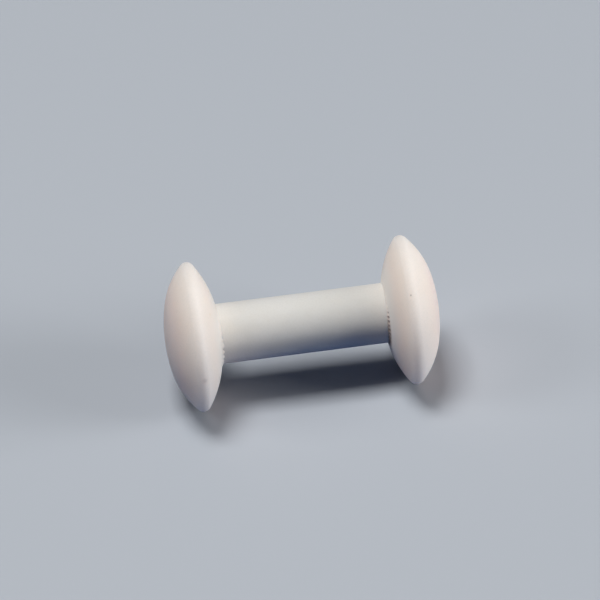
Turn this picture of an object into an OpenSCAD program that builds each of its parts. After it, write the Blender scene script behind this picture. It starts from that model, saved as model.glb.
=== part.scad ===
// Dumb-bell magnetic stir bar.
// A rod magnet lies in a plain sleeve, and a crowned disc is staked over each end of the sleeve,
// so the bar turns on two narrow rims and its shaft never touches the vessel.
// The bar lies along X. The origin is on the surface that the rims rest on, under the bar's middle.

/* [Overall] */
// Length over the outer crowns of both discs
overall_length = 37; // [30:0.5:60]

/* [Discs] */
// Diameter of each disc over its rim
disc_diameter = 20.2; // [17:0.1:28]
// Height of the outer crown above the middle of the rim
outer_crown = 4.05; // [3.6:0.05:4.6]
// Height of the inner crown above the middle of the rim
inner_crown = 3.55; // [3.2:0.05:4.2]
// Radius of the shallow middle of both crowns
crown_radius = 21.3; // [18:0.1:26]
// Distance from the axis at which a crown turns down into its shoulder
shoulder_start = 4.5; // [4.3:0.1:5.5]
// Radius of the rounding that runs around the rim
rim_round = 1; // [0.6:0.05:1.2]
// Thickness of the disc between its socket and the top of its outer crown
socket_floor = 1.5; // [1:0.1:2.5]
// Clearance around the sleeve in its socket, none where the disc is fused on
socket_clearance = 0; // [0:0.01:0.05]

/* [Staked collar] */
// Height of the collar above the sleeve where it leaves the disc
collar_root = 0.3; // [0.25:0.05:0.5]
// Height of the collar above the sleeve at its free end
collar_lip = 0.12; // [0.1:0.01:0.2]
// Length of the collar along the sleeve, measured from the inner crown
collar_length = 0.15; // [0.1:0.01:0.4]
// Number of tool marks pressed into the collar's free end
mark_count = 44; // [24:1:52]
// Radius of each tool mark
mark_radius = 0.14; // [0.1:0.01:0.18]

/* [Sleeve and magnet] */
// Outside diameter of the sleeve
sleeve_diameter = 8.1; // [6:0.1:9]
// Thickness of the sleeve's wall
sleeve_wall = 1; // [0.6:0.1:1.6]
// Clearance between the magnet and the sleeve all around
magnet_clearance = 0.05; // [0:0.01:0.15]
// Chamfer on both ends of the magnet
magnet_chamfer = 0.4; // [0.2:0.1:0.8]

/* [Hidden] */
$fn = 96;
// Overrun that carries a cut clear of the face it leaves through
cut_over = 1;
// Turn of the faint edge between one arc of a disc's section and the next, in degrees
arc_break = 1.5;
rim_break = 5;

disc_radius = disc_diameter / 2;
sleeve_radius = sleeve_diameter / 2;
sleeve_bore = sleeve_radius - sleeve_wall;
magnet_radius = sleeve_bore - magnet_clearance;
// Both the sleeve and the magnet stop against the floors of the two sockets
core_length = overall_length - 2 * socket_floor;
// The middle plane of each rim, out from the middle of the bar
rim_station = overall_length / 2 - outer_crown;
// Where the inner crown meets the sleeve, in the disc's own frame
collar_start = inner_crown - sagitta(crown_radius, sleeve_radius);

// Drop of an arc of radius r at a distance x from its top
function sagitta(r, x) = r - sqrt(r * r - x * x);

// Radius of the arc that leaves point p along its normal n and meets a smaller arc of radius r
// about point c, turning there by the rim break
function joining_radius(p, n, c, r) =
    let (d = p - c)
    (d * d - r * r) / (2 * (d * n - r * cos(rim_break)));

// One side of a disc in section, from the middle of the rim up to the crown, with the axis along Y.
// It is the overlap of three rounds: the shallow crown, the shoulder and the rim. The shoulder and
// the rim only bound it outside the blocks that stand in for them nearer the axis.
module crown_section(height) {
    crown_angle = asin(shoulder_start / crown_radius);
    shoulder_angle = crown_angle + arc_break;
    shoulder_normal = [sin(shoulder_angle), cos(shoulder_angle)];
    shoulder_point = [shoulder_start, height - sagitta(crown_radius, shoulder_start)];
    rim_centre = [disc_radius - rim_round, 0];
    shoulder_radius = joining_radius(shoulder_point, shoulder_normal, rim_centre, rim_round);
    shoulder_centre = shoulder_point - shoulder_radius * shoulder_normal;
    to_rim = rim_centre - shoulder_centre;
    rim_start = rim_centre.x + rim_round * to_rim.x / norm(to_rim);
    // Half the span over which a break of this size would let the shoulder dip under the crown
    crown_overlap = arc_break * PI / 180 / (1 / shoulder_radius - 1 / crown_radius);

    intersection() {
        translate([0, height - crown_radius]) circle(r = crown_radius);
        union() {
            square([shoulder_start - crown_overlap, height + cut_over]);
            translate(shoulder_centre) circle(r = shoulder_radius);
        }
        union() {
            square([rim_start, height + cut_over]);
            translate(rim_centre) circle(r = rim_round);
        }
        square([disc_radius + cut_over, height + cut_over]);
    }
}

// Ring that the disc throws up around the sleeve, in section. Its flank runs on into the disc.
module collar_section() {
    root_radius = sleeve_radius + collar_root;
    lip = [sleeve_radius + collar_lip, collar_start + collar_length];
    root = [root_radius, inner_crown - sagitta(crown_radius, root_radius)];
    buried = root + 0.6 * (root - lip);
    polygon([[0, 0], [buried.x, 0], buried, lip, [0, lip.y]]);
}

// Tool marks around the collar's free end, each a short groove that points out from the axis
module tool_marks() {
    for (i = [0 : mark_count - 1])
        rotate([0, 0, (i + 0.5) * 360 / mark_count])
            translate([sleeve_radius - cut_over, 0, collar_start + collar_length])
                rotate([0, 90, 0])
                    cylinder(r = mark_radius, h = cut_over + 2 * collar_root);
}

// One end disc about +Z, with the middle of its rim at z = 0 and its socket open upwards
module end_disc() {
    socket_depth = inner_crown + outer_crown - socket_floor + collar_length + cut_over;
    difference() {
        rotate_extrude() {
            crown_section(inner_crown);
            mirror([0, 1]) crown_section(outer_crown);
            collar_section();
        }
        translate([0, 0, socket_floor - outer_crown])
            cylinder(r = sleeve_radius + socket_clearance, h = socket_depth);
        tool_marks();
    }
}

// Lays a piece that was drawn along Z onto the bar's axis
module on_axis() {
    translate([0, 0, disc_radius]) rotate([0, 90, 0]) children();
}

module left_disc() {
    color("seashell") on_axis() translate([0, 0, -rim_station]) end_disc();
}

module right_disc() {
    color("seashell") on_axis() mirror([0, 0, 1]) translate([0, 0, -rim_station]) end_disc();
}

// Plain tube, pushed home in both sockets
module sleeve() {
    color("gainsboro") on_axis()
        rotate_extrude()
            translate([sleeve_bore, -core_length / 2])
                square([sleeve_wall, core_length]);
}

// Rod magnet with chamfered ends, shut in between the floors of the two sockets
module magnet() {
    half = core_length / 2;
    color("slategray") on_axis()
        rotate_extrude()
            polygon([
                [0, -half],
                [magnet_radius - magnet_chamfer, -half],
                [magnet_radius, magnet_chamfer - half],
                [magnet_radius, half - magnet_chamfer],
                [magnet_radius - magnet_chamfer, half],
                [0, half]
            ]);
}

left_disc();
right_disc();
sleeve();
magnet();
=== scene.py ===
"""Looks for the dumb-bell stir bar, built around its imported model.

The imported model's frame holds: the bar along X, the floor at z = 0, everything in metres.
Each disc is turned from a section of tangent arcs and gets its staked collar here, and the
sleeve gets the slight unevenness of an extruded tube. The magnet inside stays as packed.
"""

import math

import bmesh
import bpy
import numpy as np
from mathutils import Matrix, Vector


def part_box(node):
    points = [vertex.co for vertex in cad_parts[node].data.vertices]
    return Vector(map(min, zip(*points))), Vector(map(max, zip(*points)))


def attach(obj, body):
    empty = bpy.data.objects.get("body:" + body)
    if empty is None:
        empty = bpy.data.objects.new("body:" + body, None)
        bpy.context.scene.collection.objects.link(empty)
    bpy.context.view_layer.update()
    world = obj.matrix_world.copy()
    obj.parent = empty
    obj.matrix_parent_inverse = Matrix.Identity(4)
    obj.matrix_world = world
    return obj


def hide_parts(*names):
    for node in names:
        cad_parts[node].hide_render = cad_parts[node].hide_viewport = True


MM = 0.001
TAU = math.tau
# A corner that turns by more than this is left sharp
SHARP = math.radians(50)
# Vertices that lie nearer to one another than this are one
WELD = 1e-7

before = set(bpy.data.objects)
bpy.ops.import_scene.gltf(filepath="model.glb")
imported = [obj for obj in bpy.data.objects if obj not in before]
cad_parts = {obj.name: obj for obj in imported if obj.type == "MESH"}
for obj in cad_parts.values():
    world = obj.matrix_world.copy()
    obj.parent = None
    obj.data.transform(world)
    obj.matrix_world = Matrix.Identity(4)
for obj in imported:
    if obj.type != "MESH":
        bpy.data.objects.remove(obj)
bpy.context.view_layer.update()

LEFT_LOW = Vector(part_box("left_disc")[0])
RIGHT_LOW, RIGHT_HIGH = (Vector(corner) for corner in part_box("right_disc"))
SLEEVE_LOW, SLEEVE_HIGH = (Vector(corner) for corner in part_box("sleeve"))

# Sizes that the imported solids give
DISC_RADIUS = (RIGHT_HIGH.z - RIGHT_LOW.z) / 2
SLEEVE_RADIUS = (SLEEVE_HIGH.z - SLEEVE_LOW.z) / 2
HALF_LENGTH = (RIGHT_HIGH.x - LEFT_LOW.x) / 2
AXIS_HEIGHT = DISC_RADIUS
SOCKET_FLOOR = HALF_LENGTH - SLEEVE_HIGH.x

# Sizes of the disc's section and of the sleeve that their boxes don't give
OUTER_CROWN = 4.05 * MM
INNER_CROWN = 3.55 * MM
CROWN_RADIUS = 21.3 * MM
SHOULDER_START = 4.5 * MM
RIM_ROUND = 1.0 * MM
SLEEVE_WALL = 1.0 * MM
# How many steps a disc's section and the sleeve's take around the axis
TURN_STEPS = 440
SLEEVE_STEPS = 160
# How far the staked collar reaches up the disc's face, and how much of its length is left
# on the side that the tool hardly touched
COLLAR_REACH = 0.6 * MM
LIGHT_SHARE = 0.08
# How far above the sleeve the tool's pits lie, and how broad they are
PIT_RISE = 0.32 * MM
PIT_WIDTH = 0.15 * MM
# How far the painted shade in the crease spreads from the sleeve up the disc's face, past the
# pits, and how strong it is there
CREASE_SHADE_REACH = 0.8 * MM
CREASE_SHADE_SHARE = 0.9
# The sides on which the collar is longest, its tool marks deepest and the painted shade in its
# crease thickest, turning from +Y towards +Z
HEAVY_SIDE = math.radians(168)
MARKED_SIDE = math.radians(190)
SHADED_SIDE = math.radians(197)

# The middle plane of the rim, and the line where the inner crown would meet the sleeve
RIM_STATION = HALF_LENGTH - OUTER_CROWN
CORNER_DROP = CROWN_RADIUS - math.sqrt(CROWN_RADIUS**2 - SLEEVE_RADIUS**2)
CORNER = RIM_STATION - INNER_CROWN + CORNER_DROP


# ---------------------------------------------------------------- mesh helpers


def finish_mesh(name, bm, material, body="root"):
    """Closes a bmesh into an object at the origin that rides on a body of the part."""
    bmesh.ops.remove_doubles(bm, verts=bm.verts, dist=WELD)
    bmesh.ops.recalc_face_normals(bm, faces=bm.faces)
    for face in bm.faces:
        face.smooth = True
    for edge in bm.edges:
        edge.smooth = edge.calc_face_angle(0) < SHARP
    mesh = bpy.data.meshes.new(name)
    bm.to_mesh(mesh)
    bm.free()
    mesh.materials.append(material)
    piece = bpy.data.objects.new(name, mesh)
    bpy.context.scene.collection.objects.link(piece)
    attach(piece, body)
    return piece


def arc(bm, last, centre, angle, steps):
    """Carries a section on from its last vertex, along an arc about a centre in the XZ plane."""
    made = bmesh.ops.spin(
        bm,
        geom=[last],
        cent=centre,
        axis=(0, -1, 0),
        angle=angle,
        steps=steps,
    )
    return next(v for v in made["geom_last"] if isinstance(v, bmesh.types.BMVert))


def line(bm, last, offset, steps=1):
    """Carries a section on from its last vertex along a straight line."""
    for _ in range(steps):
        made = bmesh.ops.extrude_vert_indiv(bm, verts=[last])
        last = made["verts"][0]
        bmesh.ops.translate(bm, verts=[last], vec=offset / steps)
    return last


# ---------------------------------------------------------------- node helpers


class Nodes:
    """A material's node tree, with short calls for what the plastics and the alloy need."""

    def __init__(self, material):
        material.use_nodes = True
        self.tree = material.node_tree
        self.shader = self.tree.nodes["Principled BSDF"]
        self.object = self.add("ShaderNodeTexCoord").outputs["Object"]

    def add(self, kind, **settings):
        node = self.tree.nodes.new(kind)
        for key, value in settings.items():
            setattr(node, key, value)
        return node

    def join(self, value, socket):
        if isinstance(value, bpy.types.NodeSocket):
            self.tree.links.new(value, socket)
        else:
            socket.default_value = value

    def math(self, operation, *values):
        node = self.add("ShaderNodeMath", operation=operation)
        for value, socket in zip(values, node.inputs):
            self.join(value, socket)
        return node.outputs[0]

    def vector(self, operation, first, second=None):
        node = self.add("ShaderNodeVectorMath", operation=operation)
        self.join(first, node.inputs[0])
        if second is not None:
            self.join(second, node.inputs[1])
        return node

    def placed(self, offset=(0, 0, 0), scale=(1, 1, 1)):
        node = self.add("ShaderNodeMapping")
        self.join(self.object, node.inputs["Vector"])
        node.inputs["Location"].default_value = offset
        node.inputs["Scale"].default_value = scale
        return node.outputs[0]

    def noise(self, vector, scale, detail, roughness):
        node = self.add("ShaderNodeTexNoise")
        self.join(vector, node.inputs["Vector"])
        node.inputs["Scale"].default_value = scale
        node.inputs["Detail"].default_value = detail
        node.inputs["Roughness"].default_value = roughness
        return node.outputs["Fac"]

    def ramp(self, value, low, high, to_low=0.0, to_high=1.0):
        """Eases from one number to another while a value goes from low to high."""
        node = self.add("ShaderNodeMapRange", interpolation_type="SMOOTHSTEP")
        self.join(value, node.inputs["Value"])
        for name, number in (
            ("From Min", low),
            ("From Max", high),
            ("To Min", to_low),
            ("To Max", to_high),
        ):
            self.join(number, node.inputs[name])
        return node.outputs["Result"]

    def mix(self, factor, first, second):
        """Mixes two colours. Inputs 6 and 7 and output 2 are the node's colour sockets."""
        node = self.add("ShaderNodeMix", data_type="RGBA")
        self.join(factor, node.inputs[0])
        self.join(first, node.inputs[6])
        self.join(second, node.inputs[7])
        return node.outputs[2]

    def bump(self, height, distance, strength, under=None):
        node = self.add("ShaderNodeBump")
        node.inputs["Strength"].default_value = strength
        node.inputs["Distance"].default_value = distance
        self.join(height, node.inputs["Height"])
        if under is not None:
            self.join(under, node.inputs["Normal"])
        return node.outputs[0]

    def spot(self, centre, radius, fade):
        """One at a mark's centre and nothing beyond its radius, in metres."""
        away = self.vector("DISTANCE", self.object, centre).outputs["Value"]
        return self.ramp(away, radius * (1 - fade), radius, 1.0, 0.0)


def colour(red, green, blue):
    """A colour as it is seen on a screen, 0 to 255, as the linear one a shader takes."""

    def linear(v):
        v /= 255
        return v / 12.92 if v <= 0.04045 else ((v + 0.055) / 1.055) ** 2.4

    return (linear(red), linear(green), linear(blue), 1.0)


def from_axis(nodes):
    """Distance of a shaded point from the bar's own axis."""
    flat = nodes.placed(offset=(0, 0, -AXIS_HEIGHT), scale=(0, 1, 1))
    return nodes.vector("LENGTH", flat).outputs["Value"]


def from_seam(nodes, axis_gap):
    """Distance of a shaded point from the line where a disc's inner face meets the sleeve."""
    split = nodes.add("ShaderNodeSeparateXYZ")
    nodes.join(nodes.object, split.inputs[0])
    along = nodes.math("SUBTRACT", nodes.math("ABSOLUTE", split.outputs["X"]), CORNER)
    out = nodes.math("SUBTRACT", axis_gap, SLEEVE_RADIUS)
    squares = [nodes.math("MULTIPLY", side, side) for side in (along, out)]
    return nodes.math("SQRT", nodes.math("ADD", *squares))


POWDER_GREY = colour(172, 164, 156)
# Painted shade for the collar's pits and for the crease along its low side
PAINTED_SHADE_GREY = colour(112, 100, 94)
# Painted light: the disc's plastic made whiter close to the sleeve, to lighten the shade that
# falls there
PAINTED_LIGHT_WHITE = colour(254, 237, 227)
# Distance between the turning lines on a disc, and how high they stand
RING_PITCH = 0.16 * MM
RING_HEIGHT = 0.0008 * MM
# Part of a cloudy noise's range over which one tone or finish passes into the other
CLOUD_SPAN = (0.3, 0.75)

# Small marks of use on the discs: place and radius in millimetres, how much of that is soft edge,
# how strong the stain is, and its colour. They are a speck by the right disc's rim, a scuff on
# the left disc's rim and a yellowed spot on its inner face.
USE_MARKS = (
    ((14.1, -6.6, 17.7), 0.2, 0.8, 0.5, colour(128, 112, 90)),
    ((-14.3, -10.05, 10.5), 0.55, 0.9, 0.3, colour(176, 156, 146)),
    ((-12.5, -4.0, 16.7), 0.3, 0.9, 0.3, colour(232, 202, 158)),
)


def waxy_plastic(name, pale, deep, roughness):
    """Turned fluoropolymer: dense and white, with light spreading a little under its skin."""
    material = bpy.data.materials.new(name)
    nodes = Nodes(material)
    shader = nodes.shader
    cloud = nodes.noise(nodes.placed(), 190, 3, 0.5)
    tint = nodes.mix(nodes.ramp(cloud, *CLOUD_SPAN), pale, deep)
    # A fine powdery grain, barely darker than the plastic
    grain = nodes.noise(nodes.placed(), 4200, 2, 0.6)
    tint = nodes.mix(nodes.ramp(grain, 0.4, 0.7, 0.0, 0.07), tint, POWDER_GREY)
    shader.inputs["Subsurface Weight"].default_value = 1.0
    shader.inputs["Subsurface Radius"].default_value = (1.0, 0.95, 0.9)
    shader.inputs["IOR"].default_value = 1.38
    shader.inputs["Specular IOR Level"].default_value = 0.3
    rough = nodes.ramp(cloud, *CLOUD_SPAN, roughness - 0.03, roughness + 0.05)
    nodes.join(rough, shader.inputs["Roughness"])
    return material, nodes, tint


def disc_plastic():
    """Warm white plastic with turning lines and marks of use, painted lighter near the sleeve and
    with painted shade in the collar's pits and crease.
    """
    material, nodes, tint = waxy_plastic(
        "disc_plastic", colour(253, 227, 215), colour(251, 225, 212), 0.58
    )
    shader = nodes.shader
    axis_gap = from_axis(nodes)
    seam_gap = from_seam(nodes, axis_gap)
    # Light goes deep into the disc, but not where it is thin, over the socket and at the collar
    outside = nodes.math("SUBTRACT", axis_gap, SLEEVE_RADIUS)
    depth = nodes.ramp(outside, 0.4 * MM, 5.5 * MM, 0.25 * MM, 7.5 * MM)
    nodes.join(depth, shader.inputs["Subsurface Scale"])
    ring = nodes.math("SINE", nodes.math("MULTIPLY", axis_gap, TAU / RING_PITCH))
    uneven = nodes.noise(nodes.placed(), 900, 3, 0.6)
    skin = nodes.bump(ring, RING_HEIGHT, 0.5)
    skin = nodes.bump(uneven, 0.01 * MM, 0.3, under=skin)
    nodes.join(skin, shader.inputs["Normal"])
    # Painted light: whiter towards the seam with the sleeve
    seam_light = nodes.ramp(seam_gap, 1 * MM, 5 * MM, 1.0, 0.0)
    tint = nodes.mix(seam_light, tint, PAINTED_LIGHT_WHITE)
    for centre, radius, fade, share, stain_and_shade in USE_MARKS:
        cover = nodes.spot([number * MM for number in centre], radius * MM, fade)
        tint = nodes.mix(nodes.math("MULTIPLY", cover, share), tint, stain_and_shade)
    # Painted shade in the collar's pits and along the crease on its low side, read from the
    # vertex values
    mark = nodes.add("ShaderNodeAttribute", attribute_name="grime").outputs["Fac"]
    tint = nodes.mix(nodes.ramp(mark, 0.05, 0.8, 0.0, 0.8), tint, PAINTED_SHADE_GREY)
    nodes.join(tint, shader.inputs["Base Color"])
    return material


def sleeve_plastic():
    """Cooler white plastic with the faint lengthwise lines of a drawn tube."""
    material, nodes, tint = waxy_plastic(
        "sleeve_plastic", colour(234, 231, 225), colour(231, 228, 221), 0.56
    )
    shader = nodes.shader
    # Light goes less deep near the discs, where the sleeve runs into their sockets
    seam_gap = from_seam(nodes, from_axis(nodes))
    depth = nodes.ramp(seam_gap, 0.5 * MM, 3 * MM, 0.2 * MM, 1.5 * MM)
    nodes.join(depth, shader.inputs["Subsurface Scale"])
    drawn = nodes.noise(nodes.placed(scale=(0.12, 1, 1)), 1500, 3, 0.55)
    skin = nodes.bump(drawn, 0.01 * MM, 0.3)
    nodes.join(skin, shader.inputs["Normal"])
    nodes.join(tint, shader.inputs["Base Color"])
    return material


def magnet_alloy():
    """Dull ground metal. The magnet is shut in, so it shows only when the part is opened."""
    material = bpy.data.materials.new("magnet_alloy")
    nodes = Nodes(material)
    shader = nodes.shader
    grain = nodes.noise(nodes.placed(), 1800, 5, 0.65)
    tint = nodes.mix(grain, colour(120, 122, 126), colour(158, 160, 164))
    ground = nodes.noise(nodes.placed(scale=(14, 1, 1)), 900, 3, 0.5)
    nodes.join(tint, shader.inputs["Base Color"])
    nodes.join(nodes.ramp(ground, 0.3, 0.7, 0.38, 0.6), shader.inputs["Roughness"])
    nodes.join(nodes.bump(ground, 0.01 * MM, 0.5), shader.inputs["Normal"])
    shader.inputs["Metallic"].default_value = 1.0
    return material


# ---------------------------------------------------------------- the pieces


def tangent_arcs(height):
    """Radius and both end angles of the shoulder arc that joins a crown to the rim's rounding.

    Angles are measured from the axis. The arc leaves the crown and enters the rim in line.
    """
    start = math.asin(SHOULDER_START / CROWN_RADIUS)
    normal = Vector((math.cos(start), math.sin(start)))
    point = Vector((height - CROWN_RADIUS, 0)) + CROWN_RADIUS * normal
    rim = Vector((0, DISC_RADIUS - RIM_ROUND))
    gap = point - rim
    radius = (gap.length_squared - RIM_ROUND**2) / (2 * (gap.dot(normal) - RIM_ROUND))
    reach = rim - (point - radius * normal)
    return radius, start, math.atan2(reach.y, reach.x)


def place(axial, radial):
    """A point of the right disc's section, axial being out from the middle of its rim."""
    return Vector((RIM_STATION + axial, 0, AXIS_HEIGHT + radial))


def disc_section(bm):
    """Draws the right disc's section from the outer crown round to the socket's floor.

    The last number of each arc and line is how many steps it takes.
    """
    outer, outer_start, outer_end = tangent_arcs(OUTER_CROWN)
    inner, inner_start, inner_end = tangent_arcs(INNER_CROWN)
    seam_angle = math.asin(SLEEVE_RADIUS / CROWN_RADIUS)
    crown_centre = place(OUTER_CROWN - CROWN_RADIUS, 0)
    turn = Vector((math.cos(outer_start), 0, math.sin(outer_start)))
    shoulder_centre = crown_centre + (CROWN_RADIUS - outer) * turn
    rim_centre = place(0, DISC_RADIUS - RIM_ROUND)
    into_rim = Vector((-math.cos(inner_end), 0, math.sin(inner_end)))
    inner_centre = rim_centre - (inner - RIM_ROUND) * into_rim
    inner_crown_centre = place(CROWN_RADIUS - INNER_CROWN, 0)

    last = bm.verts.new(place(OUTER_CROWN, 0))
    last = arc(bm, last, crown_centre, outer_start, 10)
    last = arc(bm, last, shoulder_centre, outer_end - outer_start, 26)
    last = arc(bm, last, rim_centre, math.pi - outer_end - inner_end, 20)
    last = arc(bm, last, inner_centre, inner_end - inner_start, 40)
    last = arc(bm, last, inner_crown_centre, inner_start - seam_angle, 9)
    last = line(bm, last, Vector((HALF_LENGTH - SOCKET_FLOOR - last.co.x, 0, 0)), 3)
    line(bm, last, Vector((0, 0, -SLEEVE_RADIUS)), 2)


def lean(turn, side, power):
    """One on a side of the bar and nothing opposite, falling off faster with a higher power."""
    return (0.5 + 0.5 * math.cos(turn - side)) ** power


def stake_collar(bm, seed, marks, breadth, length, lobes, pits, grime):
    """Draws the disc's face out into a staked collar, longer on one side and cut into lobes.

    Each mark of the tool cuts the collar's edge and leaves a pit at its root. Breadth is a mark's
    share of the distance between marks, length is the collar's on its heavy side, lobes is how
    deeply the marks cut it and pits is how deep its pits are. The strength of the shade painted
    in the pits and along the crease on the low side is kept as a vertex value.
    """
    draw = np.random.default_rng(seed)
    # A vertex value for the shade painted into the pits and the crease
    stain_and_shade = bm.verts.layers.float.new("grime")
    pitch = TAU / marks
    # How hard the tool bit at each mark, and how far it strayed from even spacing
    bite = draw.uniform(0.35, 1.0, marks)
    drift = draw.uniform(-0.2, 0.2, marks)
    # The disc's outer face and rim lie beyond this plane and stay as they are
    last_station = CORNER + 0.5 * MM
    for v in bm.verts:
        rise = math.hypot(v.co.y, v.co.z - AXIS_HEIGHT) - SLEEVE_RADIUS
        if not -WELD < rise < 2 * COLLAR_REACH or v.co.x > last_station:
            continue
        turn = math.atan2(v.co.z - AXIS_HEIGHT, v.co.y) % TAU
        mark = int(turn / pitch) % marks
        phase = turn / pitch - mark - 0.5 - drift[mark]
        notch = bite[mark] * math.exp(-((phase / breadth) ** 2)) * lean(turn, MARKED_SIDE, 3)
        swell = 0.5 + 0.5 * math.cos(math.pi * min(rise / COLLAR_REACH, 1))
        heavy = lean(turn, HEAVY_SIDE, 5)
        swell *= (LIGHT_SHARE + (1 - LIGHT_SHARE) * heavy) * (1 - lobes * notch)
        pit = notch * math.exp(-(((rise - PIT_RISE) / PIT_WIDTH) ** 2))
        v.co.x += pits * pit - length * swell
        # Painted shade: dark in the pits, and in a band along the crease on the low side where
        # the disc's face meets the sleeve
        crease_shade = lean(turn, SHADED_SIDE, 6) * math.exp(-((rise / CREASE_SHADE_REACH) ** 2))
        v[stain_and_shade] = grime * (pit + CREASE_SHADE_SHARE * crease_shade)


def make_disc(name, side, material, **staking):
    """Turns the section into a disc and stakes its collar. Side is -1 for the left disc."""
    bm = bmesh.new()
    disc_section(bm)
    bmesh.ops.spin(
        bm,
        geom=bm.verts[:] + bm.edges[:],
        cent=(0, 0, AXIS_HEIGHT),
        axis=(1, 0, 0),
        angle=TAU,
        steps=TURN_STEPS,
        use_merge=True,
    )
    bmesh.ops.remove_doubles(bm, verts=bm.verts, dist=WELD)
    stake_collar(bm, **staking)
    if side < 0:
        bmesh.ops.scale(bm, verts=bm.verts, vec=(-1, 1, 1))
    disc = finish_mesh(name, bm, material)
    return disc


def make_sleeve(material):
    """Turns a tube that runs from one socket's floor to the other's."""
    bm = bmesh.new()
    bore_edge = (SLEEVE_LOW.x, 0, AXIS_HEIGHT + SLEEVE_RADIUS - SLEEVE_WALL)
    last = bm.verts.new(bore_edge)
    last = line(bm, last, Vector((0, 0, SLEEVE_WALL)))
    last = line(bm, last, Vector((SLEEVE_HIGH.x - SLEEVE_LOW.x, 0, 0)), 40)
    last = line(bm, last, Vector((0, 0, -SLEEVE_WALL)))
    line(bm, last, Vector((SLEEVE_LOW.x - SLEEVE_HIGH.x, 0, 0)), 4)
    bmesh.ops.spin(
        bm,
        geom=bm.verts[:] + bm.edges[:],
        cent=(0, 0, AXIS_HEIGHT),
        axis=(1, 0, 0),
        angle=TAU,
        steps=SLEEVE_STEPS,
        use_merge=True,
    )
    sleeve = finish_mesh("sleeve_tube", bm, material)
    return sleeve


disc_finish = disc_plastic()
sleeve_finish = sleeve_plastic()

# The left collar is long and lobed, the right one short and pitted, with painted shade in its
# pits and crease. Each seed was searched for, so that the marks fall much as they do on the real
# bar.
left = make_disc(
    "left_disc_turned",
    -1,
    disc_finish,
    seed=76891,
    marks=28,
    breadth=0.24,
    length=0.38 * MM,
    lobes=0.95,
    pits=0.0,
    grime=0.0,
)
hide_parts("left_disc")
right = make_disc(
    "right_disc_turned",
    1,
    disc_finish,
    seed=187262,
    marks=44,
    breadth=0.25,
    length=0.2 * MM,
    lobes=0.3,
    pits=0.25 * MM,
    grime=1.0,
)
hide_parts("right_disc")
tube = make_sleeve(sleeve_finish)
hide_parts("sleeve")

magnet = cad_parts["magnet"]
magnet.data.materials.clear()
magnet.data.materials.append(magnet_alloy())


# ---------------------------------------------------------------- floor, light and camera

SCENE = bpy.context.scene
CENTRE = Vector((0, 0, AXIS_HEIGHT))
# The floor's colour as it is seen, and the dim blue light that it throws back on the bar
FLOOR_COLOUR = colour(186, 191, 198)
FLOOR_BOUNCE = (0.03, 0.07, 0.19, 1.0)
# Half the floor's width, in metres
FLOOR_HALF = 3
# Every lamp is a square softbox of this size, this far from the middle of the bar
LAMP_SIZE = 0.45
LAMP_DISTANCE = 1.2
# Name, azimuth turning from +X towards +Y, elevation and power of each lamp
LAMPS = (
    ("overhead", 180, 80, 9.5),
    ("right_low", -12, 8, 8.1),
    ("right_high", -24, 24, 3.6),
    ("left_side", 180, 35, 2.4),
)


def make_floor():
    """Pale floor that throws back little light, so the bar's underside keeps its depth."""
    bm = bmesh.new()
    bmesh.ops.create_grid(bm, x_segments=1, y_segments=1, size=FLOOR_HALF)
    mesh = bpy.data.meshes.new("floor")
    bm.to_mesh(mesh)
    bm.free()
    floor = bpy.data.objects.new("floor", mesh)
    SCENE.collection.objects.link(floor)
    material = bpy.data.materials.new("floor_grey")
    nodes = Nodes(material)
    path = nodes.add("ShaderNodeLightPath")
    seen = nodes.math(
        "MAXIMUM",
        path.outputs["Is Camera Ray"],
        nodes.math(
            "MAXIMUM", path.outputs["Is Glossy Ray"], path.outputs["Is Transmission Ray"]
        ),
    )
    tint = nodes.mix(seen, FLOOR_BOUNCE, FLOOR_COLOUR)
    nodes.join(tint, nodes.shader.inputs["Base Color"])
    nodes.shader.inputs["Roughness"].default_value = 0.7
    nodes.shader.inputs["Specular IOR Level"].default_value = 0.2
    mesh.materials.append(material)


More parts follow.
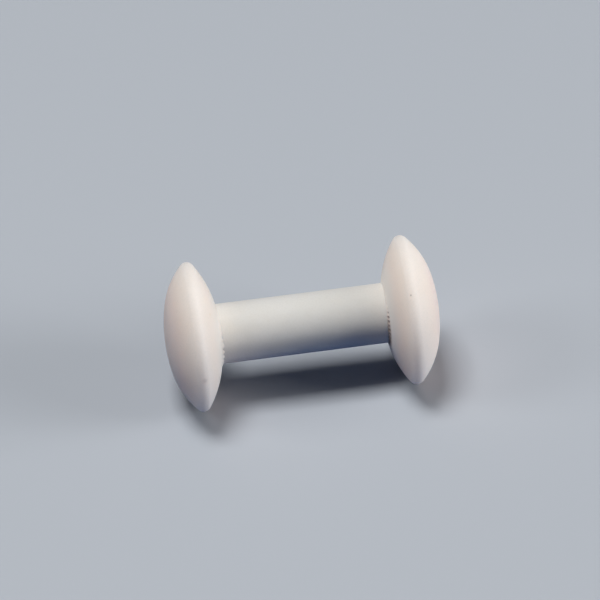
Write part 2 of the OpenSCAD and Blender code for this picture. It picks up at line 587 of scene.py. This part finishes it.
def add_lamp(name, azimuth, elevation, energy):
    """Adds a softbox that faces the middle of the bar."""
    data = bpy.data.lights.new(name, "AREA")
    data.shape = "SQUARE"
    data.size = LAMP_SIZE
    data.energy = energy
    lamp = bpy.data.objects.new(name, data)
    SCENE.collection.objects.link(lamp)
    a, e = math.radians(azimuth), math.radians(elevation)
    away = Vector((math.cos(a) * math.cos(e), math.sin(a) * math.cos(e), math.sin(e)))
    lamp.location = CENTRE + away * LAMP_DISTANCE
    lamp.rotation_mode = "QUATERNION"
    lamp.rotation_quaternion = (-away).to_track_quat("-Z", "Y")
    lamp.visible_camera = False


def light_scene():
    """One softbox overhead, two on the right and a weak one on the left, in a dim blue room."""
    for lamp in LAMPS:
        add_lamp(*lamp)
    world = bpy.data.worlds.new("room")
    SCENE.world = world
    world.use_nodes = True
    background = world.node_tree.nodes["Background"]
    background.inputs["Color"].default_value = (0.6, 0.78, 1.0, 1.0)
    background.inputs["Strength"].default_value = 0.05


# The camera's place and turn in degrees, its lens in millimetres and its distance in metres
AZIMUTH = -5.5
ELEVATION = 38.0
ROLL = 3.85
LENS = 300.0
DISTANCE = 0.671
# Where the bar's middle falls in the view, right of and below its centre, in millimetres
OFFSET_RIGHT = 0.23
OFFSET_DOWN = 3.13


def set_camera():
    """Looks down on the bar from the front, a little from the left and slightly rolled."""
    data = bpy.data.cameras.new("camera")
    data.lens = LENS
    data.sensor_width = 36
    data.clip_start = 0.01
    data.clip_end = 20
    camera = bpy.data.objects.new("camera", data)
    SCENE.collection.objects.link(camera)
    a, e = math.radians(AZIMUTH), math.radians(ELEVATION)
    back = Vector((math.sin(a) * math.cos(e), -math.cos(a) * math.cos(e), math.sin(e)))
    turn = (-back).to_track_quat("-Z", "Y")
    turn = turn @ Matrix.Rotation(math.radians(-ROLL), 3, "Z").to_quaternion()
    sideways = turn @ Vector((1, 0, 0))
    upward = turn @ Vector((0, 1, 0))
    camera.rotation_mode = "QUATERNION"
    camera.rotation_quaternion = turn
    camera.location = (
        CENTRE
        + back * DISTANCE
        - sideways * OFFSET_RIGHT * MM
        + upward * OFFSET_DOWN * MM
    )
    SCENE.camera = camera


make_floor()
light_scene()
set_camera()
SCENE.view_settings.view_transform = "Standard"
